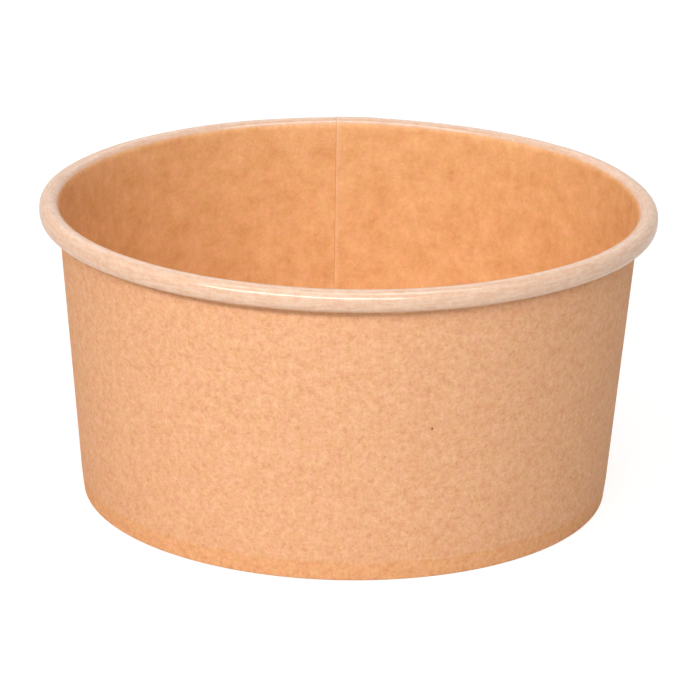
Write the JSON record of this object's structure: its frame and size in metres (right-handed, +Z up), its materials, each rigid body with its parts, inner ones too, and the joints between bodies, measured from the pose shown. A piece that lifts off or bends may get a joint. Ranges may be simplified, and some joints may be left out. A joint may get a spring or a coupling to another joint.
{
  "type": "disposable salad bowl",
  "caption": "Round kraft paper salad bowl with tapered wall, rolled rim, lapped side seam and a recessed base clamped in a folded hem.",
  "frame": {"origin": "centre of the foot ring, on the table", "axes": "+Z up along the bowl's axis, +Y towards the side seam, +X to the right as seen from the front"},
  "size_m": [0.15, 0.1503, 0.0743],
  "materials": {
    "wall_kraft": "matt brown kraft outside, thin clear coat on the food side and the rolled rim",
    "base_kraft": "brown kraft with a thin clear coat on the food side"
  },
  "bodies": {
    "root": {"side_wall": "wall_kraft", "base_disc": "base_kraft"}
  },
  "joints": []
}
